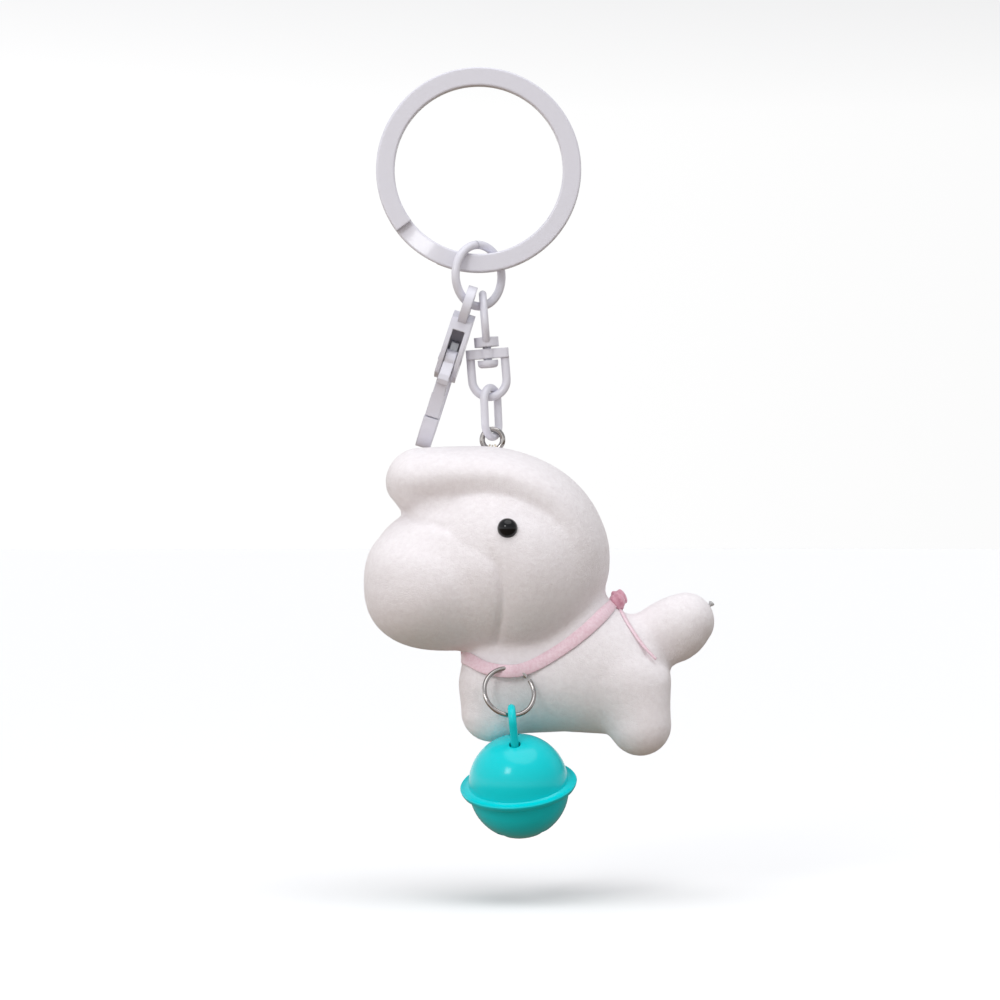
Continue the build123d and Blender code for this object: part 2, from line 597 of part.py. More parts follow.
# ---------------------------------------------------------------- facts that the record needs
FACTS = {
    "connector wire direction": CONN_OUT,
    "clasp seat": CLASP_PLANE.origin,
    "clasp down": CLASP_DOWN,
    "clasp gate way": CLASP_GATE,
    "clasp pin way": CLASP_SIDE,
    "clasp pivot": CLASP_PLANE.from_local_coords(PIVOT),
    "swivel seat": SWIVEL_ORIGIN,
    "swivel axis": SWIVEL_UP,
    "stirrup seat": STIRRUP_SEAT,
    "link way": LINK_OUT,
    "link low": LINK_LOW,
    "hang ring middle": HANG_MID,
    "hang ring low": HANG_LOW,
    "bell ring low": RING_LOW,
    "bell ring way": RING_OUT,
    "bell middle": BELL_MID,
    "bell axis": BELL_UP,
    "bell x": BELL_X,
}
for name, value in FACTS.items():
    print(name, tuple(round(part, 4) for part in value))
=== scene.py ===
"""Looks for the plush pony key chain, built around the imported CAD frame.

Lengths in the recipes below are millimetres in the CAD model's own frame, and MM turns them into metres.
+Z is up, +X points from the muzzle to the tail and -Y is the near side.
"""

import json
import math

import bmesh
import bpy
import numpy as np
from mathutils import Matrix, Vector


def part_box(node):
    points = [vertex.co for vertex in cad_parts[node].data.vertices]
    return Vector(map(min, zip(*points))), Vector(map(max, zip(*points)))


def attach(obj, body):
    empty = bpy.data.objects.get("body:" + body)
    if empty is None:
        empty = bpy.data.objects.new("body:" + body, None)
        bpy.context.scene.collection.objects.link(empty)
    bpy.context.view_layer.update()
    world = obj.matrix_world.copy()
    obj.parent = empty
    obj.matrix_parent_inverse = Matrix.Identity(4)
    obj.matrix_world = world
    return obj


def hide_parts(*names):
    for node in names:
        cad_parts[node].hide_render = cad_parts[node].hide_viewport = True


MM = 0.001
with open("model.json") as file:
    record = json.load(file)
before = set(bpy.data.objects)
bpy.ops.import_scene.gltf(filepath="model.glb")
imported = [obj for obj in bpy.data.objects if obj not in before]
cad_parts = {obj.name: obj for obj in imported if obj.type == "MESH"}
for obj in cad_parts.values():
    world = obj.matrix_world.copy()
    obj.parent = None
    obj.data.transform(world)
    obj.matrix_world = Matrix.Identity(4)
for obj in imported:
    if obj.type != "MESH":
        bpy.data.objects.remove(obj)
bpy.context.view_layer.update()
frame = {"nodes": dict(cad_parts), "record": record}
NODES = frame["nodes"]


# ---------------------------------------------------------------- small helpers
def box_mm(node):
    """A CAD node's lowest and highest corner, in millimetres."""
    low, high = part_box(node)
    return np.array(low) / MM, np.array(high) / MM


def new_object(name, vertices_mm, faces, material, smooth=True):
    """A mesh object from millimetre points and faces."""
    mesh = bpy.data.meshes.new(name)
    mesh.from_pydata((np.asarray(vertices_mm) * MM).tolist(), [], [tuple(face) for face in faces])
    mesh.validate()
    mesh.update()
    obj = bpy.data.objects.new(name, mesh)
    bpy.context.scene.collection.objects.link(obj)
    if smooth:
        mesh.polygons.foreach_set("use_smooth", [True] * len(mesh.polygons))
    mesh.materials.append(material)
    return obj


def tube(path, radii, sides):
    """Points and faces of a closed-ended tube along a path in millimetres, with one radius per point."""
    ways = np.gradient(path, axis=0)
    ways /= np.linalg.norm(ways, axis=1)[:, None]
    turn = np.linspace(0, 2 * math.pi, sides, endpoint=False)
    normal = np.array((0.0, 1.0, 0.0))
    rings = []
    for point, way, radius in zip(path, ways, radii):
        normal = normal - way * (normal @ way)
        normal /= np.linalg.norm(normal)
        side = np.cross(way, normal)
        rings.append(point + radius * (np.outer(np.cos(turn), side) + np.outer(np.sin(turn), normal)))
    return np.concatenate(rings), ring_faces(len(path), sides)


def ring_faces(rings, sides):
    """Faces between neighbouring rings of points, and one face over each end."""
    faces = []
    for i in range(rings - 1):
        a, b = i * sides, (i + 1) * sides
        for j in range(sides):
            k = (j + 1) % sides
            faces.append((a + j, a + k, b + k, b + j))
    faces.append(tuple(reversed(range(sides))))
    faces.append(tuple((rings - 1) * sides + j for j in range(sides)))
    return faces


def merge(parts):
    """Several (points, faces) pairs as one."""
    vertices, faces, start = [], [], 0
    for points, polygons in parts:
        vertices.append(np.asarray(points))
        faces += [tuple(start + index for index in polygon) for polygon in polygons]
        start += len(points)
    return np.concatenate(vertices), faces


def smooth_curve(points, count):
    """A Catmull-Rom curve through the points, sampled evenly by parameter."""
    points = np.asarray(points, float)
    ends = np.vstack([2 * points[0] - points[1], points, 2 * points[-1] - points[-2]])
    out = []
    spans = len(points) - 1
    for t in np.linspace(0, spans, count):
        i = min(int(t), spans - 1)
        u = t - i
        a, b, c, d = ends[i : i + 4]
        square, cube = 2 * a - 5 * b + 4 * c - d, 3 * b - a - 3 * c + d
        out.append(0.5 * (2 * b + (c - a) * u + square * u**2 + cube * u**3))
    return np.array(out)


# ---------------------------------------------------------------- materials
class Shader:
    """A principled material with a few node helpers. Extra keywords are the names of its sockets."""

    def __init__(self, name, colour, roughness, **sockets):
        self.material = bpy.data.materials.new(name)
        self.material.use_nodes = True
        self.tree = self.material.node_tree
        self.bsdf = self.tree.nodes["Principled BSDF"]
        self.bsdf.inputs["Base Color"].default_value = (*colour, 1)
        self.bsdf.inputs["Roughness"].default_value = roughness
        for socket, value in sockets.items():
            self.bsdf.inputs[socket.replace("_", " ")].default_value = value
        self.place = None  # the object's own coordinates, made when first asked for
        self.normal = None  # the last bump or bevel, which the next one builds on

    def node(self, kind):
        return self.tree.nodes.new(kind)

    def coordinates(self):
        if self.place is None:
            self.place = self.node("ShaderNodeTexCoord").outputs["Object"]
        return self.place

    def noise(self, size_mm, detail=4.0, rough=0.55):
        """Noise whose features are about size_mm across."""
        made = self.node("ShaderNodeTexNoise")
        made.inputs["Scale"].default_value = 1 / (size_mm * MM)
        made.inputs["Detail"].default_value = detail
        made.inputs["Roughness"].default_value = rough
        self.tree.links.new(self.coordinates(), made.inputs["Vector"])
        return made.outputs["Fac"]

    def ramp(self, value, low, high, colours):
        """Blends two colours as a value goes from low to high."""
        made = self.node("ShaderNodeValToRGB")
        made.color_ramp.elements[0].position = low
        made.color_ramp.elements[1].position = high
        made.color_ramp.elements[0].color = (*colours[0], 1)
        made.color_ramp.elements[1].color = (*colours[1], 1)
        self.tree.links.new(value, made.inputs["Fac"])
        return made.outputs["Color"]

    def colour(self, output):
        self.tree.links.new(output, self.bsdf.inputs["Base Color"])

    def span(self, value, low, high):
        """Spreads a value of 0 to 1 over low to high."""
        made = self.node("ShaderNodeMapRange")
        made.inputs["To Min"].default_value = low
        made.inputs["To Max"].default_value = high
        self.tree.links.new(value, made.inputs["Value"])
        return made.outputs["Result"]

    def roughness(self, output):
        self.tree.links.new(output, self.bsdf.inputs["Roughness"])

    def soften_edges(self, radius_mm):
        """Shades sharp edges as if they were rounded."""
        made = self.node("ShaderNodeBevel")
        made.inputs["Radius"].default_value = radius_mm * MM
        self.normal = made.outputs["Normal"]
        self.tree.links.new(self.normal, self.bsdf.inputs["Normal"])

    def bump(self, value, depth_mm):
        made = self.node("ShaderNodeBump")
        made.inputs["Distance"].default_value = depth_mm * MM
        made.inputs["Strength"].default_value = 1.0
        self.tree.links.new(value, made.inputs["Height"])
        if self.normal is not None:
            self.tree.links.new(self.normal, made.inputs["Normal"])
        self.normal = made.outputs["Normal"]
        self.tree.links.new(self.normal, self.bsdf.inputs["Normal"])


def make_white_paint():
    """Thick glossy enamel over metal, with the faint waviness of dipped paint."""
    colour = (0.77, 0.765, 0.84)
    paint = Shader("white_paint", colour, roughness=0.3, Coat_Weight=0.35, Coat_Roughness=0.12)
    paint.soften_edges(radius_mm=0.3)
    paint.bump(paint.noise(size_mm=1.6, detail=2.0), depth_mm=0.03)
    paint.roughness(paint.span(paint.noise(size_mm=0.8, detail=3.0), low=0.26, high=0.38))
    return paint.material


def make_steel(name, colour, roughness):
    """Bare or plated steel with fine scuffs, whose roughness varies about the one given."""
    steel = Shader(name, colour, roughness, Metallic=1.0)
    scuffs = steel.noise(size_mm=0.6, detail=4.0)
    steel.roughness(steel.span(scuffs, low=roughness * 0.7, high=roughness * 1.4))
    steel.bump(steel.noise(size_mm=0.3, detail=3.0), depth_mm=0.004)
    return steel.material


def make_plush():
    """Short white velvet pile: soft clumps, a fine nap and a pale sheen at grazing angles."""
    pile = Shader(
        "plush", (0.9, 0.86, 0.86), roughness=0.95,
        Sheen_Weight=0.6, Sheen_Roughness=0.45, Sheen_Tint=(1.0, 0.97, 0.97, 1.0), Specular_IOR_Level=0.12,
    )
    shades = ((0.86, 0.815, 0.835), (0.945, 0.91, 0.93))
    clumps = pile.noise(size_mm=0.8, detail=5.0, rough=0.7)
    pile.colour(pile.ramp(clumps, low=0.3, high=0.72, colours=shades))
    pile.bump(pile.noise(size_mm=2.6, detail=2.0), depth_mm=0.14)
    pile.bump(pile.noise(size_mm=0.6, detail=4.0, rough=0.6), depth_mm=0.08)
    pile.bump(pile.noise(size_mm=0.15, detail=3.0, rough=0.6), depth_mm=0.06)
    return pile.material


def make_thread(name, colour):
    """Twisted thread or loose fibre: matt, with a fine fibrous bump."""
    thread = Shader(name, colour, roughness=0.8, Sheen_Weight=0.3)
    thread.bump(thread.noise(size_mm=0.12, detail=2.0), depth_mm=0.05)
    return thread.material


def make_satin(name, dark, light):
    """Satin ribbon: a fine weave with a soft silky gloss."""
    satin = Shader(name, light, roughness=0.34, Sheen_Weight=0.35, Specular_IOR_Level=0.5)
    shine = satin.noise(size_mm=0.4, detail=4.0, rough=0.7)
    satin.colour(satin.ramp(shine, low=0.3, high=0.7, colours=(dark, light)))
    satin.bump(satin.noise(size_mm=0.09, detail=2.0), depth_mm=0.03)
    return satin.material


def make_bead():
    """Hard polished black plastic."""
    return Shader("eye_bead", (0.004, 0.004, 0.005), roughness=0.08, Specular_IOR_Level=0.32).material


def make_turquoise():
    """Turquoise lacquer over the bell's thin metal, with a thin clear coat."""
    paint = Shader(
        "turquoise_paint", (0.0, 0.66, 0.71), roughness=0.22,
        Coat_Weight=0.2, Coat_Roughness=0.03, Specular_IOR_Level=0.2,
    )
    paint.bump(paint.noise(size_mm=3.0, detail=1.0), depth_mm=0.03)
    return paint.material


MATERIALS = {
    "white_paint": make_white_paint(),
    "spring_steel": make_steel("spring_steel", (0.45, 0.46, 0.48), 0.35),
    "plated_steel": make_steel("plated_steel", (0.42, 0.40, 0.39), 0.14),
    "cream_thread": make_thread("cream_thread", (0.72, 0.64, 0.5)),
    "grey_thread": make_thread("grey_thread", (0.5, 0.5, 0.5)),
    "plush": make_plush(),
    "filling": make_thread("filling", (0.9, 0.9, 0.88)),
    "eye_bead": make_bead(),
    "pink_ribbon": make_satin("pink_ribbon", (0.8, 0.54, 0.62), (0.93, 0.74, 0.81)),
    # the same ribbon satin in a deeper pink: painted shade for the folds where the ribbon is bunched up in
    # the knot
    "pink_knot_painted_shade": make_satin("pink_knot_painted_shade", (0.62, 0.26, 0.36), (0.78, 0.42, 0.51)),
    "turquoise_paint": make_turquoise(),
    "pellet_steel": make_steel("pellet_steel", (0.5, 0.5, 0.5), 0.3),
}


def dress_cad():
    """Gives every CAD node the material of its slot."""
    for part in frame["record"]["subparts"]:
        obj = NODES[part["node"]]
        obj.data.materials.clear()
        obj.data.materials.append(MATERIALS[part["material_slot"]])


dress_cad()


# ---------------------------------------------------------------- the plush pony's shape
# Every soft form is an egg or a bent egg: its centre line in XZ, the radius across that line in XZ, and
# the half depth along Y.
GRID = 0.45  # between samples of the soft shape
DEEPEST = -8.0  # distances stop here, because they are only needed near a surface
TINY = 1e-9  # keeps a division by zero away


def egg(p, centre, radii, power=2.0):
    """Distance to an egg, roughly in millimetres. A power over 2 makes it squarer seen from the side."""
    q = [(p[i] - centre[i]) / radii[i] for i in range(3)]
    flat = (np.abs(q[0]) ** power + np.abs(q[2]) ** power) ** (2 / power)
    k0 = np.sqrt(flat + q[1] ** 2) + TINY
    grad = np.sqrt(sum((q[i] / radii[i]) ** 2 for i in range(3))) + TINY
    return np.maximum(k0 * (k0 - 1) / grad, DEEPEST)


def bent_egg(p, stations):
    """Distance to a form along a centre line. A station is (x, z, radius in XZ, half depth, y)."""
    best = None
    for (x0, z0, r0, d0, y0), (x1, z1, r1, d1, y1) in zip(stations[:-1], stations[1:]):
        vx, vz = x1 - x0, z1 - z0
        t = np.clip(((p[0] - x0) * vx + (p[2] - z0) * vz) / (vx * vx + vz * vz), 0, 1)
        r = r0 + (r1 - r0) * t
        d = d0 + (d1 - d0) * t
        qx = (p[0] - x0 - vx * t) / r
        qz = (p[2] - z0 - vz * t) / r
        qy = (p[1] - y0 - (y1 - y0) * t) / d
        k0 = np.sqrt(qx**2 + qy**2 + qz**2) + TINY
        k1 = np.sqrt((qx / r) ** 2 + (qy / d) ** 2 + (qz / r) ** 2) + TINY
        dist = np.maximum(k0 * (k0 - 1) / k1, DEEPEST)
        best = dist if best is None else np.minimum(best, dist)
    return best


def join(a, b, blend):
    """Smooth union of two distances."""
    h = np.maximum(blend - np.abs(a - b), 0) / blend
    return np.minimum(a, b) - h * h * blend / 4


CREST_LINE = smooth_curve([
    (-8.5, -45.7, 5.1, 7.6, 0), (-3.0, -45.1, 4.7, 9.3, 0), (3.0, -45.3, 4.7, 10.8, 0),
    (8.3, -47.3, 4.8, 11.2, 0), (11.6, -50.5, 5.0, 10.8, 0), (13.4, -54.6, 5.0, 9.8, 0),
    (13.4, -57.5, 5.0, 8.8, 0),
], count=24)
HEAD_EGG = ((4.4, 0, -57.8), (14.1, 14.8, 13.6))
BROW_EGG = ((-4.3, 0, -54.6), (9.4, 10.8, 6.8))
MUZZLE_EGG = ((-4.7, 0, -60.4), (12.1, 13.2, 9.9))
BARREL_LINE = [(6.0, -73.8, 8.6, 8.6, 0), (12.5, -73.6, 8.5, 8.8, 0), (19.3, -73.9, 8.6, 8.5, 0)]
NECK_LINE = [(12.5, -66.0, 7.2, 7.2, 0), (15.4, -70.2, 7.6, 7.8, 0)]
TAIL_LINE = smooth_curve([
    (25.2, -68.6, 4.2, 4.2, 0), (28.4, -67.3, 4.8, 4.8, 0), (30.3, -66.0, 4.2, 4.3, 0),
], count=9)
FORE_LEG = [(2.1, -75.5, 4.8, 4.2, 4.0), (1.9, -79.0, 4.4, 3.8, 3.9)]
HIND_LEG = [(22.6, -75.5, 5.2, 4.4, 4.0), (23.5, -80.9, 4.5, 4.1, 4.3)]
MUZZLE_SQUARENESS = 2.4
# how far a join spreads where two forms meet
BROW_BLEND = 3.0
MUZZLE_BLEND = 1.1
CREST_BLEND = 2.8
NECK_BLEND = 2.5
LEG_BLEND = 2.2
COLLAR_BLEND = 1.2  # between the head and the torso
TAIL_BLEND = 1.6
PONY_BOX = ((-18.5, -15.5, -87.5), (37.0, 15.5, -38.5))
# the stuffing inside, which the plush always covers
CORE_BALLS = [((4.1, 0, -56.8), 13.6), ((-5.9, 0, -59.5), 10.1)]
CORE_CREST = [
    [(-8.6, -45.9, 4.1, 4.1, 2.6), (2.5, -45.3, 4.1, 4.1, 3.4)],
    [(3.5, -45.8, 3.8, 3.8, 3.2), (11.0, -49.4, 3.8, 3.8, 2.4)],
]
COVER = 0.3  # least thickness of plush over the stuffing


def mirrored(line):
    """The same centre line on the far side."""
    return [(x, z, r, d, -y) for x, z, r, d, y in line]


def torso_distance(p):
    """Distance to the barrel, the neck and the four legs."""
    body = join(bent_egg(p, BARREL_LINE), bent_egg(p, NECK_LINE), NECK_BLEND)
    for leg in (FORE_LEG, HIND_LEG):
        for line in (leg, mirrored(leg)):
            body = join(body, bent_egg(p, line), LEG_BLEND)
    return body


def head_distance(p):
    """Distance to the head, the brow, the muzzle and the crest."""
    head = join(egg(p, *HEAD_EGG), egg(p, *BROW_EGG), BROW_BLEND)
    head = join(head, egg(p, *MUZZLE_EGG, power=MUZZLE_SQUARENESS), MUZZLE_BLEND)
    return join(head, bent_egg(p, CREST_LINE), CREST_BLEND)


def core_distance(p):
    """Distance to the stuffing of the head, the muzzle and the crest."""
    forms = [egg(p, centre, (radius, radius, radius)) for centre, radius in CORE_BALLS]
    forms += [bent_egg(p, line) for bar in CORE_CREST for line in (bar, mirrored(bar))]
    return np.minimum.reduce(forms)


def pony_distance(p):
    """Distance to the whole pony: the head, the crest, the torso with legs, and the tail."""
    pony = join(head_distance(p), torso_distance(p), COLLAR_BLEND)
    return join(pony, bent_egg(p, TAIL_LINE), TAIL_BLEND)


def surface_nets(field, low, step):
    """A closed quad surface where a sampled field is zero: one point per mixed cell."""
    inside = field < 0
    shape = field.shape
    offsets = np.array([(i, j, k) for i in (0, 1) for j in (0, 1) for k in (0, 1)], float)
    corners = [field[i : shape[0] - 1 + i, j : shape[1] - 1 + j, k : shape[2] - 1 + k]
               for i in (0, 1) for j in (0, 1) for k in (0, 1)]
    signs = np.stack([corner < 0 for corner in corners])
    mixed = signs.any(0) & ~signs.all(0)
    cells = np.argwhere(mixed)
    number = -np.ones(mixed.shape, np.int64)
    number[tuple(cells.T)] = np.arange(len(cells))
    values = np.stack([corner[mixed] for corner in corners], 1)
    total = np.zeros((len(cells), 3))
    hits = np.zeros(len(cells))
    for a in range(len(offsets)):
        for b in range(a + 1, len(offsets)):
            if np.abs(offsets[a] - offsets[b]).sum() != 1:
                continue  # the two corners share no edge of the cell
            va, vb = values[:, a], values[:, b]
            cross = (va < 0) != (vb < 0)
            t = np.where(cross, va / np.where(cross, va - vb, 1), 0)
            total += cross[:, None] * (offsets[a] + t[:, None] * (offsets[b] - offsets[a]))
            hits += cross
    points = low + step * (cells + total / hits[:, None])
    faces = []
    for axis in range(3):
        one, two = [k for k in range(3) if k != axis]
        near = np.take(inside, range(shape[axis] - 1), axis)
        far = np.take(inside, range(1, shape[axis]), axis)
        edges = np.argwhere(near != far)  # each one is inside four mixed cells, which make one face
        edges = edges[(edges[:, one] > 0) & (edges[:, two] > 0)]
        edges = edges[(edges[:, one] < mixed.shape[one]) & (edges[:, two] < mixed.shape[two])]
        leaving = near[tuple(edges.T)]
        quad = []
        for d1, d2 in ((0, 0), (-1, 0), (-1, -1), (0, -1)):
            at = edges.copy()
            at[:, one] += d1
            at[:, two] += d2
            quad.append(number[tuple(at.T)])
        quad = np.stack(quad, 1)
        # the other two axes come in reverse order for the middle one, so its faces turn the other way
        flip = leaving if axis != 1 else ~leaving
        quad[~flip] = quad[~flip][:, ::-1]
        faces.append(quad)
    return points, np.concatenate(faces)


def soft_surface(distance, low, high, step):
    """The surface of a distance inside a box, from samples that are step apart."""
    axes = [np.arange(low[i], high[i] + step, step) for i in range(3)]
    field = distance(np.meshgrid(*axes, indexing="ij"))
    return surface_nets(field, np.array(low, float), step)


def gradient(distance, points, reach=0.05):
    """Outward unit direction of a distance at points (rows of x, y, z)."""
    out = np.zeros_like(points)
    for axis in range(3):
        shift = np.zeros(3)
        shift[axis] = reach
        ahead = distance(list((points + shift).T))
        behind = distance(list((points - shift).T))
        out[:, axis] = ahead - behind
    return out / (np.linalg.norm(out, axis=1)[:, None] + 1e-12)


def settle(distance, points, rounds):
    """Moves points onto the surface of a distance."""
    points = np.array(points, float)
    for _ in range(rounds):
        step = distance(list(points.T))
        points = points - gradient(distance, points) * step[:, None]
    return points


# Seams, where a needle pulled two panels together. Each is a line in XZ.
CREST_SEAM = [
    (-12.1, -50.2), (-8.6, -48.4), (-4.9, -47.9), (0.2, -47.9), (4.6, -48.1), (9.0, -49.5), (12.0, -52.0),
    (14.1, -54.5),
]
MUZZLE_SEAM = [
    (-11.6, -50.6), (-7.1, -51.2), (-2.7, -53.0), (0.3, -55.1), (2.3, -57.4), (3.2, -60.0), (3.5, -63.0),
    (3.2, -66.0), (2.6, -69.2),
]
HIP_SEAM = [(24.6, -70.4), (26.4, -71.4), (28.2, -72.8)]
# each seam with the depth of its stitch line, the depth of the valley round it, and the share of its
# length over which it fades out
SEAMS = ((CREST_SEAM, 0.3, 0.3, 0.25), (MUZZLE_SEAM, 0.45, 0.55, 0.0), (HIP_SEAM, 0.25, 0.3, 0.4))
STITCH_WIDTH = 0.4
VALLEY_WIDTH = 1.7
SEAM_POINTS = 120


def seam_depth(points, line, depth, width, fade):
    """How far a seam drawn in XZ pulls each point in."""
    curve = smooth_curve(line, SEAM_POINTS)
    best = np.full(len(points), np.inf)
    share = np.zeros(len(points))
    flat = points[:, [0, 2]]
    for index, spot in enumerate(curve):
        gap = ((flat - spot) ** 2).sum(1)
        nearer = gap < best
        best[nearer] = gap[nearer]
        share[nearer] = index / (len(curve) - 1)
    ends = np.clip((1 - share) / fade, 0, 1) if fade else 1.0
    return depth * ends * np.exp(-best / (2 * width**2))


def make_pony():
    """The plush surface, with its seams pulled in and its stuffing covered."""
    points, faces = soft_surface(pony_distance, *PONY_BOX, GRID)
    normal = gradient(pony_distance, points)
    pull = np.zeros(len(points))
    for line, stitch, valley, fade in SEAMS:
        pull += seam_depth(points, line, stitch, STITCH_WIDTH, fade)
        pull += seam_depth(points, line, valley, VALLEY_WIDTH, fade)
    points = points - normal * pull[:, None]
    short = np.clip(COVER - core_distance(list(points.T)), 0, None)
    points = points + gradient(core_distance, points) * short[:, None]
    return new_object("pony_plush", points, faces, MATERIALS["plush"])


pony = make_pony()
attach(pony, "pony")
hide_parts("crest_skin", "muzzle_skin", "head_skin", "body_skin", "tail_skin")


# ---------------------------------------------------------------- the neck ribbon
# Both strands run in mirror image from the knot at the nape, round the neck, to the chest. The line is
# given in XZ, and its depth comes from the plush below it.
RIBBON_LINE = [
    (20.2, -62.9), (18.6, -64.3), (15.6, -67.1), (11.6, -70.1), (7.4, -72.4), (4.2, -73.1), (1.2, -72.6),
    (-1.0, -71.6), (-2.6, -71.0),
]
STREAMER_LINE = [(20.2, -63.4), (21.6, -66.2), (23.6, -69.2), (25.6, -71.4)]
RIBBON_HALF = 0.95
RIBBON_THICK = 0.16
RIBBON_LIFT = 0.25
RIBBON_POINTS = 150
# the ribbon's outline across its length, as shares of its half width and its thickness
RIBBON_SECTION = [
    (-1.0, 0.0), (-0.92, 0.5), (0.0, 0.62), (0.92, 0.5), (1.0, 0.0), (0.92, -0.5), (0.0, -0.38),
    (-0.92, -0.5),
]
NAPE_SHARE = 0.62  # the ribbon's width where it enters the knot, as a share of its full width
NAPE_END = 0.16  # the share of its length over which it widens
RING_LIFT = 1.0  # how much farther the ribbon stands off where the bell's ring passes under it
RING_X = 4.45
RING_SPREAD = 2.2  # how gently the ribbon rises to that place
STREAMER_HALF = 0.42
STREAMER_TAPER = 0.35  # how much of its width a streamer loses on its way
STREAMER_LIFT = 0.6 * RIBBON_LIFT  # a streamer lies closer than the band
STREAMER_POINTS = 60
DEPTHS = np.linspace(0, -16, 161)  # near-side depths tried when a line is laid on the plush
SETTLE_ROUNDS = 5  # steps in which a laid line finds the plush surface
DRAPE_ROUNDS = 6  # times that it is then smoothed
KNOT_AT = (20.4, 0.0, -62.9)
KNOT_BOX = ((18.4, -2.6, -65.0), (22.4, 2.6, -60.8))
KNOT_WRAP = (1.25, 0.95, 1.5)
KNOT_LOBE = (1.15, 0.8, 1.15)
LOBE_SHIFT = (-0.15, 1.15, -0.2)  # from the middle of the knot to its far lobe
KNOT_BLEND = 0.25
KNOT_GRID = 0.1
FOLD_DEPTH = 0.13
FOLD_RATE = 4.4  # radians for each mm along X
FOLD_SLANT = 0.6  # how much of that a mm along Z gives
FOLD_FADE = 1.6  # radians for each mm along Y


def near_depth(x, z):
    """The near-side Y of the plush at a place in XZ, or 0 where the line is outside its outline."""
    count = len(DEPTHS)
    values = pony_distance([np.full(count, float(x)), DEPTHS, np.full(count, float(z))])
    inside = np.nonzero(values < 0)[0]
    return DEPTHS[inside[-1]] if len(inside) else 0.0


def drape(line, lift, side):
    """Points that lie lift over the plush along a line in XZ, and the directions out of it. lift has one
    value per point, and side is -1 for the near side or 1 for the far side."""
    spots = smooth_curve(line, len(lift))
    points = np.array([(x, near_depth(x, z), z) for x, z in spots])
    points = settle(pony_distance, points, SETTLE_ROUNDS)
    for _ in range(DRAPE_ROUNDS):
        points[1:-1] = 0.5 * points[1:-1] + 0.25 * (points[:-2] + points[2:])
    out = gradient(pony_distance, points)
    points = points + out * lift[:, None]
    if side > 0:
        points, out = points * (1, -1, 1), out * (1, -1, 1)
    return points, out


def strip(points, out, half, thick):
    """A thin ribbon with rounded edges along points, its face turned to the out directions. half is its
    half width at each point."""
    way = np.gradient(points, axis=0)
    across = np.cross(way, out)
    across /= np.linalg.norm(across, axis=1)[:, None]
    up = np.cross(across, way)
    up /= np.linalg.norm(up, axis=1)[:, None]
    rings = [points + across * (half * a)[:, None] + up * (thick * b) for a, b in RIBBON_SECTION]
    return np.stack(rings, 1).reshape(-1, 3), ring_faces(len(points), len(RIBBON_SECTION))


def face_outward(obj):
    """Makes every face of an object point outward."""
    made = bmesh.new()
    made.from_mesh(obj.data)
    bmesh.ops.recalc_face_normals(made, faces=made.faces)
    made.to_mesh(obj.data)
    made.free()


def knot_distance(p):
    """A small pulled knot: a middle wrap with a lobe on each side, and folds over both."""
    knot = egg(p, KNOT_AT, KNOT_WRAP)
    x, y, z = LOBE_SHIFT
    for side in (-1, 1):
        lobe = egg(p, (KNOT_AT[0] + x, side * y, KNOT_AT[2] + z), KNOT_LOBE)
        knot = join(knot, lobe, KNOT_BLEND)
    return knot + FOLD_DEPTH * np.sin(FOLD_RATE * (p[0] + FOLD_SLANT * p[2])) * np.cos(FOLD_FADE * p[1])


def both_sides(line, lift, half):
    """A ribbon draped along a line on the near side and its mirror image on the far side."""
    return merge([strip(*drape(line, lift, side), half, RIBBON_THICK) for side in (-1, 1)])


def add_ribbon():
    """The band round the neck, its two streamers and the knot between them."""
    x = smooth_curve(RIBBON_LINE, RIBBON_POINTS)[:, 0]
    lift = RIBBON_LIFT + RING_LIFT * np.exp(-((x - RING_X) / RING_SPREAD) ** 2)
    along = np.linspace(0, 1, RIBBON_POINTS)
    half = RIBBON_HALF * (NAPE_SHARE + (1 - NAPE_SHARE) * np.clip(along / NAPE_END, 0, 1))
    loop = both_sides(RIBBON_LINE, lift, half)
    low = np.full(STREAMER_POINTS, STREAMER_LIFT)
    width = STREAMER_HALF * (1 - STREAMER_TAPER * np.linspace(0, 1, STREAMER_POINTS))
    tails = both_sides(STREAMER_LINE, low, width)
    knot = soft_surface(knot_distance, *KNOT_BOX, KNOT_GRID)
    pieces = (
        ("ribbon_loop", loop, "neck_ribbon", "pink_ribbon"),
        ("ribbon_tails", tails, "ribbon_streamers", "pink_ribbon"),
        # the knot wears the deeper pink, a painted shade for its folds
        ("ribbon_tie", knot, "ribbon_knot", "pink_knot_painted_shade"),
    )
    for name, shape, node, look in pieces:
        obj = new_object(name, *shape, MATERIALS[look])
        face_outward(obj)
        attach(obj, "pony")
        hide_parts(node)


add_ribbon()


# ---------------------------------------------------------------- the thread's end on the tail
NUB_START = (-0.5, 0, -0.4)  # from the middle of the CAD knot back into the tail
NUB_BEND = (0.6, 0.05, 0.5)  # from there to the middle of the stub
NUB_END = (1.0, 0.0, 1.0)  # from the start to the tip of the knob
NUB_POINTS = 16
NUB_SIDES = 12
STUB_R = 0.2
KNOB_RISE = 0.24  # how much wider than the stub the knob at its end is
KNOB_FROM = 0.45  # the share of the length where it begins to widen
KNOB_GROWS = 0.3  # the share of the length over which it widens


def add_tail_nub():
    """The sewing thread's knot, which stands out from the tail on a short stub."""
    low, high = box_mm("tail_knot")
    start = (low + high) / 2 + NUB_START
    line = smooth_curve([start, start + NUB_BEND, start + NUB_END], NUB_POINTS)
    along = np.linspace(0, 1, NUB_POINTS)
    radii = STUB_R + KNOB_RISE * np.clip((along - KNOB_FROM) / KNOB_GROWS, 0, 1)
    radii[-1] = STUB_R  # the knob closes at its tip
    nub = new_object("tail_nub", *tube(line, radii, NUB_SIDES), MATERIALS["grey_thread"])
    face_outward(nub)
    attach(nub, "pony")
    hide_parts("tail_knot")


add_tail_nub()


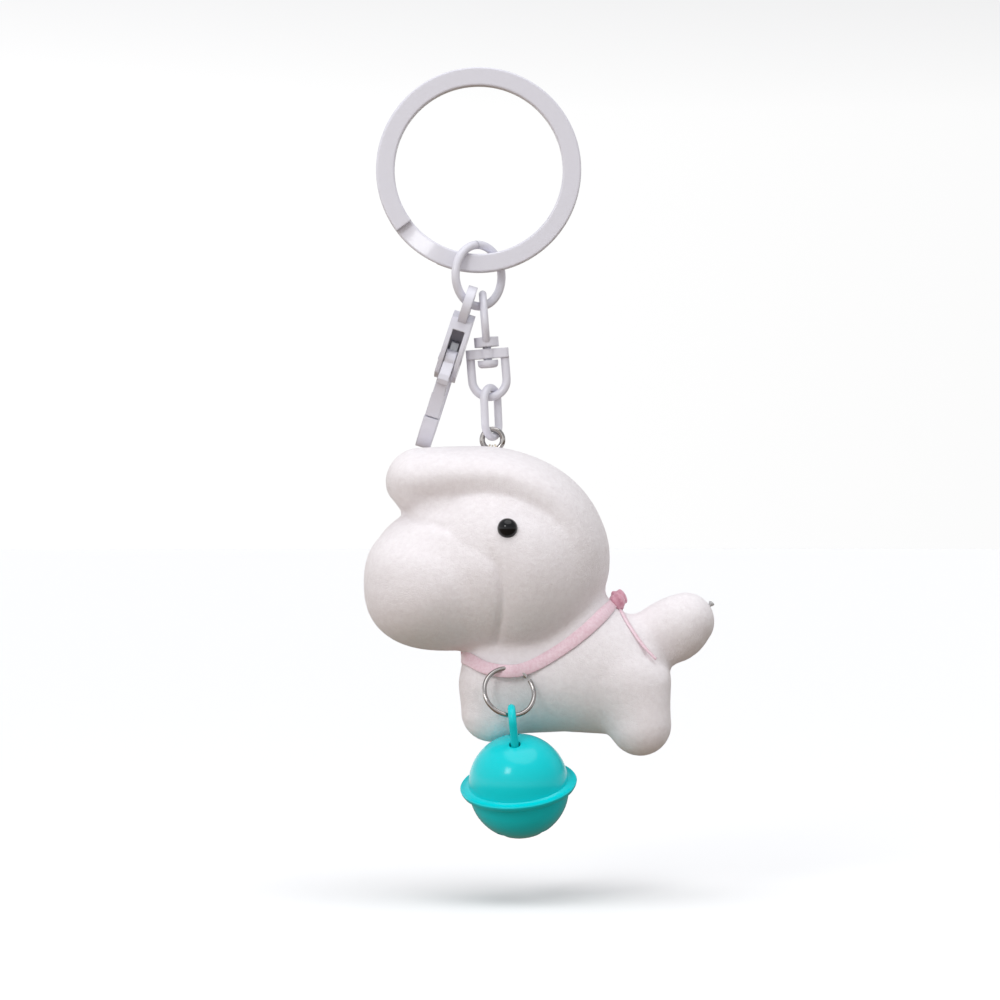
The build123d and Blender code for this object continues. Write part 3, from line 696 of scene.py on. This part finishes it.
# ---------------------------------------------------------------- stage, lights and camera
FLOOR_Z = -106.3
FLOOR_R = 4000.0
FLOOR_SIDES = 96
SUN_POWER = 1.35
SUN_SOFTNESS = 60.0  # degrees across
SUN_TILT = (10.0, 4.0)  # degrees about X and Y
KEY_PLACE = (-150, -290, 110)
KEY_AIM = (5, -10, -60)
KEY_SIZE = 85.0
KEY_POWER = 0.22
ROOM_ABOVE = (0.45, 0.46, 0.48)
ROOM_SIDE = (0.66, 0.66, 0.68)
ROOM_LEVEL = (1.0, 1.0, 1.0)
ROOM_BELOW = (0.24, 0.19, 0.145)
# the room's colours by height, where 0 is straight down, 0.5 is level and 1 is straight up
ROOM_BANDS = ((0.44, ROOM_BELOW), (0.49, ROOM_LEVEL), (0.55, ROOM_LEVEL), (0.6, ROOM_SIDE))
ROOM_LEAN = (-0.3, -0.12, 0.0)  # the room is brighter towards its left and near sides
ROOM_STRENGTH = 1.13
VIEW_MM = 146.34  # width of the picture at the object's depth
DISTANCE = 560.0
SENSOR_MM = 36.0
AIM = (3.13, 0.0, -48.26)


def make_stage():
    """A plain pale floor. The object's light from below comes from the room, not from the floor."""
    white = Shader("stage", (0.95, 0.95, 0.95), roughness=0.9, Specular_IOR_Level=0.0)
    turn = np.linspace(0, 2 * math.pi, FLOOR_SIDES, endpoint=False)
    level = np.full(FLOOR_SIDES, FLOOR_Z)
    rim = np.stack([np.cos(turn) * FLOOR_R, np.sin(turn) * FLOOR_R, level], 1)
    floor = new_object("stage_floor", rim, [tuple(range(FLOOR_SIDES))], white.material, smooth=False)
    floor.visible_diffuse = False
    floor.visible_glossy = False


def make_room():
    """A pale room that is brightest at eye level, greyer above, and dim and warm below."""
    world = bpy.data.worlds.new("studio")
    bpy.context.scene.world = world
    world.use_nodes = True
    tree = world.node_tree
    place = tree.nodes.new("ShaderNodeTexCoord")
    split = tree.nodes.new("ShaderNodeSeparateXYZ")
    lift = tree.nodes.new("ShaderNodeMapRange")
    lift.inputs["From Min"].default_value = -1.0
    ramp = tree.nodes.new("ShaderNodeValToRGB")
    stops = ramp.color_ramp.elements
    stops[0].position, stops[0].color = 0.0, (*ROOM_BELOW, 1)
    stops[1].position, stops[1].color = 1.0, (*ROOM_ABOVE, 1)
    for position, colour in ROOM_BANDS:
        stop = stops.new(position)
        stop.color = (*colour, 1)
    lean = tree.nodes.new("ShaderNodeVectorMath")
    lean.operation = "DOT_PRODUCT"
    lean.inputs[1].default_value = ROOM_LEAN
    strength = tree.nodes.new("ShaderNodeMath")
    strength.inputs[1].default_value = ROOM_STRENGTH
    tree.links.new(place.outputs["Generated"], split.inputs["Vector"])
    tree.links.new(split.outputs["Z"], lift.inputs["Value"])
    tree.links.new(place.outputs["Generated"], lean.inputs[0])
    tree.links.new(lean.outputs["Value"], strength.inputs[0])
    tree.links.new(lift.outputs["Result"], ramp.inputs["Fac"])
    tree.links.new(ramp.outputs["Color"], tree.nodes["Background"].inputs["Color"])
    tree.links.new(strength.outputs["Value"], tree.nodes["Background"].inputs["Strength"])


def make_lights():
    """A very soft light from above, a small softbox from the near left, and the room."""
    sun = bpy.data.lights.new("key_top", "SUN")
    sun.energy = SUN_POWER
    sun.angle = math.radians(SUN_SOFTNESS)
    top = bpy.data.objects.new("key_top", sun)
    bpy.context.scene.collection.objects.link(top)
    top.rotation_euler = (math.radians(SUN_TILT[0]), math.radians(SUN_TILT[1]), 0)
    box = bpy.data.lights.new("key_left", "AREA")
    box.shape = "RECTANGLE"
    box.size = box.size_y = KEY_SIZE * MM
    box.energy = KEY_POWER
    left = bpy.data.objects.new("key_left", box)
    bpy.context.scene.collection.objects.link(left)
    left.location = Vector(KEY_PLACE) * MM
    left.rotation_euler = (Vector(KEY_AIM) - Vector(KEY_PLACE)).to_track_quat("-Z", "Y").to_euler()
    make_room()


def make_camera():
    """A level camera on the near side."""
    data = bpy.data.cameras.new("camera")
    data.sensor_width = SENSOR_MM
    data.lens = SENSOR_MM * DISTANCE / VIEW_MM
    data.clip_start = 0.01
    data.clip_end = 10.0
    camera = bpy.data.objects.new("camera", data)
    bpy.context.scene.collection.objects.link(camera)
    camera.location = Vector((AIM[0], AIM[1] - DISTANCE, AIM[2])) * MM
    camera.rotation_euler = (math.pi / 2, 0, 0)
    bpy.context.scene.camera = camera


make_stage()
make_lights()
make_camera()
bpy.context.scene.view_settings.view_transform = "Standard"
